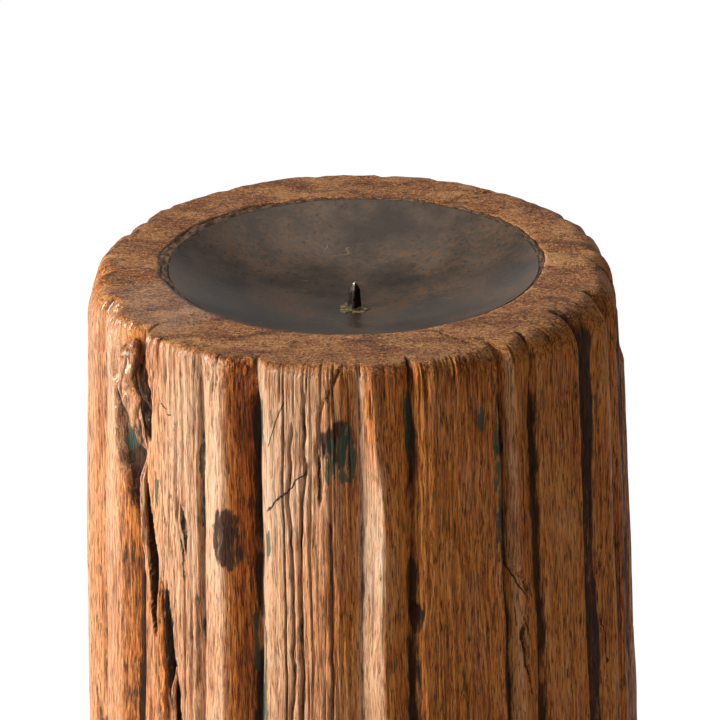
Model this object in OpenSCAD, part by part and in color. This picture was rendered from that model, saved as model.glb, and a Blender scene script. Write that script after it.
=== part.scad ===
// Wooden candlestick: a length of old reeded column, waxed, with a metal dish
// let into its top and a short forged spike in the middle of the dish.
// The origin is the centre of the foot, +Z is up and the front is -Y.

/* [Column] */
// Height of the column
column_h = 280; // [200:5:400]
// Diameter across the bands at the top shoulder
top_d = 160; // [150:1:180]
// Diameter across the bands at the foot
base_d = 181; // [176:1:200]
// How far in the worn top edge is rounded
edge_in = 5; // [3:0.5:7]
// How far down the worn top edge is rounded
edge_down = 14.5; // [8:0.5:20]
// Chamfer round the foot
foot_chamfer = 1.5; // [0.5:0.5:3]

/* [Reeding] */
// Depth of the channels between the bands
channel_depth = 6; // [3:0.5:8]
// Open width left on each side of a reed in its channel
channel_gap = 2.4; // [1.5:0.1:4]

/* [Dish] */
// Diameter of the dish at its rim
dish_d = 110; // [100:1:114]
// Depth of the dish inside
dish_depth = 14; // [10:0.5:18]
// Thickness of the sheet metal
sheet_t = 1.5; // [1:0.1:2.5]
// Width of the filed edge of the rim
rim_w = 0.5; // [0.2:0.1:1]
// How far the rim sits below the top of the wood
rim_drop = 0.5; // [0:0.1:2]
// How far the dish sits behind the column's axis
dish_back = 3; // [0:0.5:5]
// Width of the putty joint round the rim
joint_w = 2; // [1:0.25:3]
// Depth of the putty joint
joint_h = 3; // [2:0.5:5]

/* [Spike] */
// Height of the spike above the dish floor
spike_h = 8.4; // [6:0.2:12]
// Diameter of the spike at its foot, and of its tang
spike_d = 4; // [3:0.1:5]
// Diameter of the blunt tip
tip_d = 1.2; // [0.6:0.1:2]
// Length of the tang below the dish floor
tang_len = 32; // [20:1:50]
// Diameter of the braze round the spike's foot
braze_d = 11; // [8:0.5:14]
// Height of the braze
braze_h = 1.2; // [0.6:0.1:2]

/* [Hidden] */
$fn = 96;

// Each reed's angle from the front and its width, both in degrees, going
// round to the right; cut by hand, so no two are quite alike
reeds = [
    [5.5, 9.4], [35.2, 7.6], [64.1, 9.2], [97, 8.8], [126, 9.4], [153, 8.6],
    [181, 9.8], [207, 8.4], [236, 9.6], [264, 8.8], [300, 14], [331.6, 9.6]
];

base_r = base_d / 2;
top_r = top_d / 2;
shoulder_z = column_h - edge_down;
lean = atan((base_r - top_r) / shoulder_z);
mid_r = (base_r + top_r) / 2;
edge_steps = 4;
clear = 20;

inner_r = (pow(dish_d / 2, 2) + pow(dish_depth, 2)) / (2 * dish_depth);
outer_r = inner_r + sheet_t;
rim_z = column_h - rim_drop;
floor_z = rim_z - dish_depth;
bowl_z = floor_z + inner_r;
dish_r = dish_d / 2 + rim_w;
joint_r = dish_r + joint_w;

// The tapered blank with its worn, quarter-ellipse top edge
module turned_blank() {
    edge = [for (i = [0:edge_steps])
        let (a = 90 * i / edge_steps)
        [top_r - edge_in * (1 - cos(a)), shoulder_z + edge_down * sin(a)]];
    foot = [[0, 0], [base_r - foot_chamfer, 0], [base_r, foot_chamfer]];
    rotate_extrude() polygon(concat(foot, edge, [[0, column_h]]));
}

// Puts its children at the column's side at this angle from the front,
// with X pointing out and Z up the leaning side
module on_side(angle) {
    rotate([0, 0, angle - 90])
        translate([base_r, 0, 0])
            rotate([0, -lean, 0])
                children();
}

// The open channel that a reed stands in
module channel(width) {
    translate([-channel_depth, -width / 2, -clear])
        cube([channel_depth + clear, width, column_h + 2 * clear]);
}

// A half-round reed whose crest is level with the bands
module reed(width) {
    translate([-width / 2, 0, -clear])
        cylinder(d = width, h = column_h + 2 * clear);
}

// The arc length of an angle half way up the column
function arc(angle) = mid_r * angle * PI / 180;

// The bands and reeds, all the way round
module reeded_column() {
    difference() {
        turned_blank();
        for (r = reeds)
            on_side(r[0]) channel(arc(r[1]) + 2 * channel_gap);
    }
    intersection() {
        turned_blank();
        for (r = reeds)
            on_side(r[0]) reed(arc(r[1]));
    }
}

module at_dish() {
    translate([0, dish_back, 0]) children();
}

// The turned hollow that the dish beds in, with a step for the putty
module dish_seat() {
    translate([0, 0, bowl_z]) sphere(r = outer_r, $fn = 128);
    translate([0, 0, rim_z - joint_h])
        cylinder(r = joint_r, h = joint_h + clear);
}

module tang() {
    translate([0, 0, floor_z - tang_len])
        cylinder(d = spike_d, h = tang_len);
}

module column() {
    color("sienna")
        difference() {
            reeded_column();
            at_dish() dish_seat();
            at_dish() tang();
        }
}

// A shallow spherical bowl of sheet metal with a hole for the tang
module candle_dish() {
    color("dimgray")
        at_dish()
            difference() {
                intersection() {
                    translate([0, 0, bowl_z]) sphere(r = outer_r, $fn = 128);
                    translate([0, 0, floor_z - clear])
                        cylinder(r = dish_r, h = rim_z - floor_z + clear);
                }
                translate([0, 0, bowl_z]) sphere(r = inner_r, $fn = 128);
                translate([0, 0, floor_z - clear])
                    cylinder(d = spike_d, h = 2 * clear);
            }
}

// The forged spike and the tang that is driven into the wood
module spike() {
    color("darkslategray")
        at_dish() {
            tang();
            translate([0, 0, floor_z])
                cylinder(d1 = spike_d, d2 = tip_d, h = spike_h);
        }
}

// Height of the bowl's inside above its lowest point, at radius r
function bowl_rise(r) = inner_r - sqrt(pow(inner_r, 2) - r * r);

// Radius of the spike at a height above the dish floor
function spike_r(h) = (spike_d + (tip_d - spike_d) * h / spike_h) / 2;

// The braze run round the spike's foot on the floor of the dish
module braze_ring() {
    color("goldenrod")
        at_dish() translate([0, 0, floor_z])
            rotate_extrude()
                polygon([
                    [spike_r(bowl_rise(spike_d / 2)), bowl_rise(spike_d / 2)],
                    [braze_d / 2, bowl_rise(braze_d / 2)],
                    [spike_r(braze_h), braze_h]
                ]);
}

// The putty packed between the rim of the dish and the step in the wood
module bedding_putty() {
    color("gray")
        at_dish()
            difference() {
                translate([0, 0, rim_z - joint_h])
                    cylinder(r = joint_r, h = joint_h);
                translate([0, 0, bowl_z]) sphere(r = outer_r, $fn = 128);
                translate([0, 0, rim_z - clear])
                    cylinder(r = dish_r, h = 2 * clear);
            }
}

column();
candle_dish();
spike();
braze_ring();
bedding_putty();
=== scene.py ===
"""The look of the wooden candlestick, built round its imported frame.

A thick length of old reeded column, worn, split and waxed, stands on its foot with
a patinated metal dish let into its top. All shapes are worked out in millimetres,
as functions on grids, and turned into metres when they become meshes.
"""
import math

import bpy
import numpy as np
from mathutils import Matrix, Vector


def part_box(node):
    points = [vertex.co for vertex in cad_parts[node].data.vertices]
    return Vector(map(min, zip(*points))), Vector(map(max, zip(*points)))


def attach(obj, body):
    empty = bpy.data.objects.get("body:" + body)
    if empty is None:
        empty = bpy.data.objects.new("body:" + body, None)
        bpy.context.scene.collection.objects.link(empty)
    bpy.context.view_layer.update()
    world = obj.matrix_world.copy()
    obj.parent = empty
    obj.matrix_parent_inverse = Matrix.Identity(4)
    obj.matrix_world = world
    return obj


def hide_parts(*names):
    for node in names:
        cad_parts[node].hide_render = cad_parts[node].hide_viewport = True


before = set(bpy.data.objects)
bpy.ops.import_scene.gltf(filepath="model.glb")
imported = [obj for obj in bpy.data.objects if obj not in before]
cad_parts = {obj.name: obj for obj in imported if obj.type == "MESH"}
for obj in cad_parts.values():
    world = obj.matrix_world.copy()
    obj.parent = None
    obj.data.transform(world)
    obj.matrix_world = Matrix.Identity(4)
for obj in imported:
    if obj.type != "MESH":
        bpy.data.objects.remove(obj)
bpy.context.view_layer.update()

MM = 0.001


# ---------------------------------------------------------------- sizes, in mm
def node_box(name):
    """A CAD node's lowest and highest corners, in mm."""
    low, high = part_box(name)
    return np.array(low) / MM, np.array(high) / MM


column_high = node_box("column")[1]
dish_low, dish_high = node_box("candle_dish")
spike_low, spike_high = node_box("spike")
braze_low, braze_high = node_box("braze_ring")

HEIGHT = column_high[2]
FOOT_R = column_high[0]
TOP_R = 80.0          # radius across the bands where the worn edge starts
EDGE_HEIGHT = 14.5    # how far below the top the taper ends
FOOT_CHAMFER = 1.5
PUTTY_DEPTH = 2.6     # how far the joint round the dish goes down
DISH_X = (spike_low[0] + spike_high[0]) / 2
DISH_Y = (spike_low[1] + spike_high[1]) / 2
RIM_Z = dish_high[2]
RIM_R = (dish_high[0] - dish_low[0]) / 2
SHEET_T = 1.5
FLOOR_Z = dish_low[2] + SHEET_T
DISH_DEPTH = RIM_Z - FLOOR_Z
SPIKE_R = (spike_high[0] - spike_low[0]) / 2
TIP_Z = spike_high[2]
TANG_Z = spike_low[2]
BRAZE_R = (braze_high[0] - braze_low[0]) / 2
BOWL_R = (RIM_R ** 2 + DISH_DEPTH ** 2) / (2 * DISH_DEPTH)


# ------------------------------------------------------------------ arithmetic
def fade(low, high, x):
    """0 below low, 1 above high, with a smooth S between them."""
    t = np.clip((x - low) / (high - low), 0.0, 1.0)
    return t * t * (3 - 2 * t)


def band_mask(x, low, high, soft):
    """1 between low and high, fading to 0 over soft on each side."""
    return fade(low - soft, low + soft, x) * (1 - fade(high - soft, high + soft, x))


def lattice_noise(x, y, seed, wrap=64):
    """Random values on a lattice, -1 to 1, blended smoothly; x repeats every wrap."""
    table = np.random.default_rng(seed).uniform(-1, 1, (wrap, 64))
    xi, yi = np.floor(x), np.floor(y)
    fx, fy = x - xi, y - yi
    fx, fy = fx * fx * (3 - 2 * fx), fy * fy * (3 - 2 * fy)
    x0, y0 = xi.astype(int) % wrap, yi.astype(int) % 64
    x1, y1 = (x0 + 1) % wrap, (y0 + 1) % 64
    near = table[x0, y0] * (1 - fx) + table[x1, y0] * fx
    far = table[x0, y1] * (1 - fx) + table[x1, y1] * fx
    return near * (1 - fy) + far * fy


def round_noise(angle, z, cells, length, seed, octaves=1):
    """Noise over an angle in degrees, with cells round the circle, and a height."""
    total = np.zeros(np.broadcast(angle, z).shape)
    for k in range(octaves):
        scale = 2 ** k
        total = total + lattice_noise(
            angle / 360 * cells * scale, z / length * scale, seed + 17 * k, cells * scale
        ) / scale
    return total


def through(points, x):
    """A line through (x, y) points, straight between them."""
    xs, ys = np.array(points, dtype=float).T
    return np.interp(x, xs, ys)


def bowl_height(r):
    """Height of the inside of the dish, a sphere's, at a distance from its middle."""
    return FLOOR_Z + BOWL_R - np.sqrt(BOWL_R ** 2 - np.square(r))


# ---------------------------------------------------------------- mesh helpers
def closed_grid_faces(rows, cols):
    """Quads of a grid closed round its columns, whose first and last rows end in
    a pole: the poles are the two vertices after the grid's own."""
    i, j = np.meshgrid(np.arange(rows - 1), np.arange(cols), indexing="ij")
    k = (j + 1) % cols
    quads = np.stack([i * cols + j, i * cols + k, (i + 1) * cols + k, (i + 1) * cols + j], -1)
    j = np.arange(cols)
    k = (j + 1) % cols
    first, last = rows * cols, rows * cols + 1
    start = np.stack([np.full(cols, first), k, j], -1)
    end = np.stack([(rows - 1) * cols + j, (rows - 1) * cols + k, np.full(cols, last)], -1)
    return quads.reshape(-1, 4).tolist() + start.tolist() + end.tolist()


def make_piece(name, points, faces, material, node=None, values=None):
    """A mesh piece from points in mm; it rides on the one body, root."""
    mesh = bpy.data.meshes.new(name)
    mesh.from_pydata((np.asarray(points, dtype=float) * MM).tolist(), [], faces)
    mesh.polygons.foreach_set("use_smooth", np.ones(len(mesh.polygons), dtype=bool))
    for key, data in (values or {}).items():
        data = np.asarray(data, dtype=np.float32)
        if data.ndim == 2:
            mesh.attributes.new(key, "FLOAT_VECTOR", "POINT").data.foreach_set("vector", data.ravel())
        else:
            mesh.attributes.new(key, "FLOAT", "POINT").data.foreach_set("value", data)
    mesh.materials.append(material)
    mesh.update()
    piece = bpy.data.objects.new(name, mesh)
    bpy.context.scene.collection.objects.link(piece)
    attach(piece, "root")
    if node:
        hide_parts(node)
    return piece


def skin(grid, pole_first, pole_last):
    """Points of a closed grid, with its two poles after them."""
    return np.concatenate([grid.reshape(-1, 3), [pole_first, pole_last]])


# ------------------------------------------------------------- shader helpers
def put(tree, kind, inputs=None, **settings):
    """Adds a node, sets its properties, and sets or links its inputs."""
    made = tree.nodes.new(kind)
    for key, value in settings.items():
        setattr(made, key, value)
    for key, value in (inputs or {}).items():
        if isinstance(value, bpy.types.NodeSocket):
            tree.links.new(value, made.inputs[key])
        else:
            made.inputs[key].default_value = value
    return made


def calc(tree, operation, a, b=0.0, c=0.0, clamp=False):
    """A Math node's result."""
    return put(
        tree, "ShaderNodeMath", {0: a, 1: b, 2: c}, operation=operation, use_clamp=clamp
    ).outputs[0]


def level(tree, value, low, high, out_low=0.0, out_high=1.0):
    """value mapped from low..high to out_low..out_high, with smooth ends."""
    return put(
        tree, "ShaderNodeMapRange",
        {"Value": value, "From Min": low, "From Max": high, "To Min": out_low, "To Max": out_high},
        interpolation_type="SMOOTHSTEP",
    ).outputs["Result"]


def blend(tree, amount, a, b, mode="MIX"):
    """Colour a turned towards b by amount."""
    made = put(tree, "ShaderNodeMix", data_type="RGBA", blend_type=mode, clamp_factor=True)
    for key, value in ((0, amount), (6, a), (7, b)):
        if isinstance(value, bpy.types.NodeSocket):
            tree.links.new(value, made.inputs[key])
        elif key == 0:
            made.inputs[key].default_value = value
        else:
            made.inputs[key].default_value = (*value, 1.0)
    return made.outputs[2]


def stretched(tree, vector, x, y, z):
    """The vector scaled along each axis, in cells per metre."""
    return put(tree, "ShaderNodeMapping", {"Vector": vector, "Scale": (x, y, z)}).outputs[0]


def cloud(tree, vector, detail=3.0, roughness=0.55, distortion=0.0, scale=1.0):
    """Noise, about 0.3 to 0.7 in the main."""
    return put(
        tree, "ShaderNodeTexNoise",
        {"Vector": vector, "Scale": scale, "Detail": detail, "Roughness": roughness,
         "Distortion": distortion},
    ).outputs["Fac"]


def tones(tree, value, stops):
    """A colour ramp through (place, colour) stops."""
    made = put(tree, "ShaderNodeValToRGB", {"Fac": value})
    ramp = made.color_ramp
    while len(ramp.elements) < len(stops):
        ramp.elements.new(0.5)
    for element, (place, colour) in zip(ramp.elements, stops):
        element.position = place
        element.color = (*colour, 1.0)
    return made.outputs["Color"]


def mark(tree, name):
    """A number or vector kept on the mesh."""
    return put(tree, "ShaderNodeAttribute", attribute_name=name, attribute_type="GEOMETRY")


def new_group(name, takes, gives):
    """An empty node group with named sockets: (name, kind) pairs."""
    group = bpy.data.node_groups.new(name, "ShaderNodeTree")
    kinds = {"value": "NodeSocketFloat", "colour": "NodeSocketColor", "vector": "NodeSocketVector"}
    for label, kind in takes:
        group.interface.new_socket(label, in_out="INPUT", socket_type=kinds[kind])
    for label, kind in gives:
        group.interface.new_socket(label, in_out="OUTPUT", socket_type=kinds[kind])
    return group, group.nodes.new("NodeGroupInput").outputs, group.nodes.new("NodeGroupOutput")


def use(tree, group, inputs):
    """Places a node group and returns its outputs."""
    made = put(tree, "ShaderNodeGroup", node_tree=group)
    for key, value in inputs.items():
        if isinstance(value, bpy.types.NodeSocket):
            tree.links.new(value, made.inputs[key])
        else:
            made.inputs[key].default_value = value
    return made.outputs


def new_material(name):
    """A material with one Principled shader, and its node tree."""
    material = bpy.data.materials.new(name)
    material.use_nodes = True
    tree = material.node_tree
    tree.nodes.clear()
    shader = put(tree, "ShaderNodeBsdfPrincipled")
    out = put(tree, "ShaderNodeOutputMaterial")
    tree.links.new(shader.outputs[0], out.inputs["Surface"])
    return material, tree, shader


def feed(tree, shader, **inputs):
    """Sets or links the shader's inputs; underscores stand for spaces."""
    for key, value in inputs.items():
        socket = shader.inputs[key.replace("_", " ")]
        if isinstance(value, bpy.types.NodeSocket):
            tree.links.new(value, socket)
        else:
            socket.default_value = value


def bumped(tree, height, depth, strength=1.0):
    """A normal from a height of 0 to 1 that stands for depth metres."""
    return put(
        tree, "ShaderNodeBump", {"Height": height, "Distance": depth, "Strength": strength}
    ).outputs["Normal"]


# ------------------------------------------------------------------- the wood
def wood_grain_group():
    """Grain of the old hardwood from a position in the log, in metres: long streaks,
    fine streaks, pores that are dashes along the grain and dots across it."""
    group, given, gives = new_group(
        "wood_grain", [("Position", "vector")],
        [("Streak", "value"), ("Fine", "value"), ("Pores", "value"), ("Patch", "value")],
    )
    place = given["Position"]
    streak = cloud(group, stretched(group, place, 1150, 1150, 15), 5, 0.72, 0.3)
    fine = cloud(group, stretched(group, place, 2500, 2500, 130), 4, 0.68)
    pores = cloud(group, stretched(group, place, 3000, 3000, 190), 2, 0.5)
    patch = cloud(group, stretched(group, place, 42, 42, 14), 3, 0.55)
    for label, value in (("Streak", streak), ("Fine", fine), ("Patch", patch)):
        group.links.new(value, gives.inputs[label])
    group.links.new(level(group, pores, 0.56, 0.65), gives.inputs["Pores"])
    return group


WOOD_GRAIN = wood_grain_group()

# Colours of the waxed wood, from its darkest streaks to its palest
WOOD_TONES = [
    (0.20, (0.13, 0.026, 0.004)), (0.42, (0.43, 0.104, 0.012)),
    (0.56, (0.65, 0.195, 0.026)), (0.80, (0.78, 0.31, 0.064)),
]
# The same wood, paler: where it is dry and bleached, and as painted light where the key light strikes
DRY_AND_LIT_TONES = [
    (0.16, (0.28, 0.105, 0.038)), (0.38, (0.54, 0.275, 0.140)),
    (0.54, (0.67, 0.40, 0.235)), (0.80, (0.80, 0.57, 0.390)),
]
SAWN_TONES = [
    (0.26, (0.13, 0.034, 0.008)), (0.44, (0.38, 0.125, 0.028)),
    (0.57, (0.60, 0.230, 0.060)), (0.76, (0.80, 0.420, 0.165)),
]
# Colour of dirt and tar, also used as painted shade in the splits, the torn hollow and on shaded reed
# flanks
GRIME_AND_SHADE = (0.030, 0.016, 0.009)
OLD_GREEN = (0.042, 0.095, 0.064)
STAIN = (0.034, 0.013, 0.007)
PORE = (0.070, 0.020, 0.006)


def drawn_crack(tree, along, across, start, stop, first, slope, bend, width):
    """1 along a hairline whose place across is a parabola of its place along."""
    step = calc(tree, "SUBTRACT", along, start)
    middle = calc(tree, "MULTIPLY_ADD", step, bend, slope)
    middle = calc(tree, "MULTIPLY_ADD", middle, step, first)
    off = calc(tree, "ABSOLUTE", calc(tree, "SUBTRACT", across, middle))
    line = calc(tree, "SUBTRACT", 1.0, level(tree, off, width * 0.4, width))
    soft = abs(stop - start) * 0.15
    begins = level(tree, along, start, start + soft)
    ends = calc(tree, "SUBTRACT", 1.0, level(tree, along, stop - soft, stop))
    return calc(tree, "MULTIPLY", calc(tree, "MULTIPLY", begins, ends), line)


def wood_material():
    """Old waxed hardwood: streaked and pored, dark in its grooves and splits, with
    traces of green paint, and duller on its sawn end. Its splits, torn hollow and some
    flanks carry painted shade, and its lit faces are painted paler."""
    material, tree, shader = new_material("old_waxed_wood")
    place = mark(tree, "grain").outputs["Vector"]
    dirt_and_shade = mark(tree, "dirt_and_shade").outputs["Fac"]
    paint = mark(tree, "paint").outputs["Fac"]
    stain = mark(tree, "stain").outputs["Fac"]
    end = mark(tree, "end").outputs["Fac"]
    pale = mark(tree, "pale").outputs["Fac"]
    gloss = mark(tree, "gloss").outputs["Fac"]
    grain = use(tree, WOOD_GRAIN, {"Position": place})

    tone = calc(tree, "MULTIPLY_ADD", grain["Streak"], 1.1, -1.02)
    tone = calc(tree, "MULTIPLY_ADD", grain["Fine"], 1.5, tone)
    tone = calc(tree, "MULTIPLY_ADD", grain["Patch"], 0.56, tone)
    # Below 0 the pale mark deepens the tone: painted shade on flanks turned away from the light. Above 0
    # it turns the wood to the paler tones: bleached wood, and painted light on lit faces.
    tone = calc(tree, "MULTIPLY_ADD", calc(tree, "MINIMUM", pale, 0.0), 0.13, tone)
    colour = blend(tree, pale, tones(tree, tone, WOOD_TONES), tones(tree, tone, DRY_AND_LIT_TONES))
    pored = calc(tree, "MULTIPLY_ADD", pale, -0.52, 0.85)
    colour = blend(tree, calc(tree, "MULTIPLY", grain["Pores"], pored), colour, PORE)

    flecks = cloud(tree, stretched(tree, place, 620, 980, 700), 5, 0.70, 1.8)
    burr = cloud(tree, stretched(tree, place, 70, 110, 90), 4, 0.6, 0.8)
    mottled = calc(tree, "MULTIPLY_ADD", flecks, 2.4, calc(tree, "MULTIPLY_ADD", burr, 1.0, -1.2))
    sawn = tones(tree, mottled, SAWN_TONES)
    colour = blend(tree, end, colour, sawn)

    split = put(tree, "ShaderNodeSeparateXYZ", {0: place}).outputs
    angle = calc(tree, "ARCTAN2", split[0], calc(tree, "MULTIPLY", split[1], -1))
    angle = calc(tree, "MULTIPLY", angle, 180 / math.pi)
    wander = cloud(tree, stretched(tree, place, 260, 260, 260), 2, 0.6)
    high = calc(tree, "MULTIPLY_ADD", wander, 5.0, calc(tree, "MULTIPLY_ADD", split[2], 1 / MM, -2.5))
    turned = calc(tree, "MULTIPLY_ADD", wander, 1.6, calc(tree, "SUBTRACT", angle, 0.8))
    lines = 0.0
    for crack in DRAWN_ACROSS:
        lines = calc(tree, "MAXIMUM", drawn_crack(tree, angle, high, *crack), lines)
    for crack in DRAWN_ALONG:
        lines = calc(tree, "MAXIMUM", drawn_crack(tree, high, turned, *crack), lines)

    # Here the wood is darkened towards one colour, for dirt and tar in its grooves and cracks, and as
    # painted shade in the torn hollow, the splits and on the flanks of reeds A and B that turn from the
    # light.
    edge = cloud(tree, stretched(tree, place, 520, 520, 110), 5, 0.68)
    ragged = calc(tree, "MULTIPLY_ADD", calc(tree, "SUBTRACT", edge, 0.5), 2.2, dirt_and_shade)
    darkening = level(tree, ragged, 0.18, 0.88)
    darkening = calc(tree, "MAXIMUM", darkening, lines)
    crust = level(tree, grain["Fine"], 0.36, 0.58, 0.98, 0.90)
    colour = blend(tree, calc(tree, "MULTIPLY", darkening, crust), colour, GRIME_AND_SHADE)
    soaked = calc(tree, "MULTIPLY_ADD", calc(tree, "SUBTRACT", edge, 0.5), 2.4, stain)
    soaked = calc(tree, "MULTIPLY", level(tree, soaked, 0.16, 0.74), crust)
    colour = blend(tree, soaked, colour, STAIN)
    flaked = calc(tree, "MULTIPLY_ADD", calc(tree, "SUBTRACT", edge, 0.5), 4.0, paint)
    colour = blend(tree, level(tree, flaked, 0.62, 0.85, 0.0, 0.85), colour, OLD_GREEN)

    rough = calc(tree, "MULTIPLY_ADD", grain["Fine"], 0.30, 0.26)
    rough = calc(tree, "MULTIPLY_ADD", darkening, 0.15, rough)
    rough = calc(tree, "MULTIPLY_ADD", stain, 0.25, rough)
    height = calc(tree, "MULTIPLY", grain["Fine"], 0.9)
    height = calc(tree, "MULTIPLY_ADD", grain["Streak"], 1.1, height)
    height = calc(tree, "SUBTRACT", height, calc(tree, "MULTIPLY", grain["Pores"], 0.35))
    height = calc(tree, "SUBTRACT", height, calc(tree, "MULTIPLY", lines, 1.2))
    height = calc(tree, "MULTIPLY_ADD", calc(tree, "MULTIPLY", flecks, end), 1.0, height)
    feed(
        tree, shader, Base_Color=colour, Roughness=rough,
        Coat_Weight=calc(tree, "MULTIPLY_ADD", gloss, 0.55, 0.02), Coat_Roughness=0.14,
        Specular_IOR_Level=0.20, Normal=bumped(tree, height, 0.0007, 0.9),
    )
    return material


# Hairlines across the grain: from and to angle, height at the first, slope and bend of
# the height with the angle, width in mm
DRAWN_ACROSS = [
    (-19.4, -9.2, 234.0, 1.30, 0.026, 0.55), (32.0, 37.2, 216.5, -5.2, 0.40, 0.7),
    (34.8, 39.4, 196.0, -1.5, -1.1, 0.6), (-46.0, -42.0, 262.0, -1.2, 0.0, 0.35),
    (60.5, 64.0, 190.0, 3.0, 0.6, 0.5),
]
# Hairlines near the grain: from and to height, angle at the first, slope and bend of the
# angle with the height, width in degrees
DRAWN_ALONG = [
    (253.0, 271.0, -18.5, 0.188, 0.0024, 0.16), (168.0, 196.0, 38.2, -0.28, 0.0060, 0.35),
    (238.0, 262.0, -7.6, -0.06, 0.003, 0.30), (150.0, 184.0, 63.5, 0.05, -0.003, 0.2),
    (205.0, 232.0, -38.9, -0.03, -0.001, 0.25),
]


# Reeds, going round from the back to the right, in degrees from the front or mm:
# valley at the left, crest, valley at the right, depth of the left and right valleys,
# drop of the crest below the bands, power of the left and right flanks' curves, and
# how wide the bands' banks are at the left and right
REEDS = [
    (-157.8, -152.6, -147.2, 3.8, 6.4, 0.0, 2.2, 1.6, 1.8, 4.6),
    (-129.4, -124.6, -117.6, 3.4, 6.8, 0.2, 1.6, 2.0, 2.0, 3.2),
    (-101.0, -95.5, -90.2, 3.2, 4.8, 0.3, 2.0, 2.0, 2.0, 2.6),
    (-73.5, -60.4, -52.6, 3.8, 9.4, -0.5, 2.0, 1.9, 2.0, 3.0),
    (-34.6, -28.9, -22.0, 2.2, 7.2, -0.8, 1.9, 1.2, 1.0, 4.0),
    (0.7, 5.2, 11.2, 3.4, 4.4, -0.9, 1.05, 1.4, 7.0, 2.2),
    (32.2, 34.9, 41.0, 4.8, 3.4, -0.8, 1.5, 1.7, 1.2, 1.2),
    (56.4, 67.0, 71.4, 5.6, 5.4, -0.4, 1.4, 1.8, 2.2, 2.4),
    (92.0, 97.5, 103.2, 3.8, 6.4, 0.0, 1.6, 1.8, 1.8, 3.2),
    (120.9, 125.4, 132.6, 3.4, 6.8, 0.0, 1.7, 1.8, 1.6, 4.2),
    (148.0, 153.4, 159.2, 4.2, 6.2, 0.2, 2.0, 1.8, 1.8, 3.0),
    (175.6, 180.4, 187.4, 3.4, 6.6, 0.0, 1.8, 1.7, 1.6, 3.6),
]
SEAM = -165.0

# How far the worn top edge is rounded in and down, by angle
EDGE_IN = [
    (-165, 1.2), (-150, 2.2), (-130, 3.5), (-105, 6.3), (-80, 6.0), (-62, 4.5), (-50, 1.6),
    (-35, 2.2), (-22, 1.2), (-12, 3.6), (-3, 5.5), (3, 3.4), (9, 2.6), (23, 4.4), (35, 6.2),
    (50, 7.6), (65, 7.8), (80, 6.6), (105, 7.2), (120, 6.2), (140, 4.4), (160, 2.4), (195, 1.2),
]
EDGE_DOWN = [
    (-165, 4), (-130, 8), (-105, 14), (-70, 14.5), (-58, 10), (-50, 4), (-35, 3.5),
    (-22, 3), (0, 4.5), (9, 4), (23, 6), (35, 8), (50, 9), (65, 12), (80, 14.5),
    (105, 14), (130, 8), (160, 4.5), (195, 4),
]


def grain_angles():
    """Angles of the column's grid lines: finest at the front, where the wood is
    most weathered, and coarser round the back."""
    stretches = [(SEAM, -100, 2.2), (-100, -72, 0.5), (-72, 72, 0.25), (72, 100, 0.5), (100, 195, 2.2)]
    return np.concatenate([
        np.linspace(a, b, int(round((b - a) / step)), endpoint=False) for a, b, step in stretches
    ])


def taper(z):
    """Radius across the bands at each height."""
    return FOOT_R + (TOP_R - FOOT_R) * np.minimum(z / (HEIGHT - EDGE_HEIGHT), 1)


def reed_relief(u):
    """Depth below the bands at each angle: each reed is a power curve from valley to
    crest to valley, and the bands beside it round down into its valleys, the wider
    the straighter."""
    depth = np.zeros_like(u)
    for (valley_l, crest, valley_r, deep_l, deep_r, drop,
         curve_l, curve_r, bank_l, bank_r) in REEDS:
        left = u < crest
        valley, deep = np.where(left, valley_l, valley_r), np.where(left, deep_l, deep_r)
        width = np.where(left, bank_l, bank_r)
        along = np.abs(u - crest) / np.abs(valley - crest)
        beyond = np.abs(u - valley) / width
        reed = drop + (deep - drop) * along ** np.where(left, curve_l, curve_r)
        bank = deep * np.clip(1 - beyond, 0, 1) ** (1 + 1 / (1 + width / 3))
        depth = np.where(along <= 1, reed, depth + bank)
    return depth


# How far past a split's lips its painted shade reaches
SPLIT_SHADE_MARGIN = 0.4     # degrees


def line_gap(u, z, points, width, soft=0.35):
    """1 along a slanting split that passes through (angle, height) points in
    falling order; its half width in degrees is given by (height, width) points."""
    heights = [(h, a) for a, h in points][::-1]
    centre = through(heights, z)
    half = through(width, z)
    inside = band_mask(z, points[-1][1], points[0][1], 1.2)
    return inside * (1 - fade(half * (1 - soft), half * (1 + soft), np.abs(u - centre)))


def dark_gap(u, z, points, width):
    """A split as line_gap gives it, and the same split a little wider: its painted shade,
    which starts outside the lips so that the walls are painted dark all the way down."""
    wider = [(height, half + SPLIT_SHADE_MARGIN) for height, half in width]
    return line_gap(u, z, points, width), line_gap(u, z, points, wider, 0.15)


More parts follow.
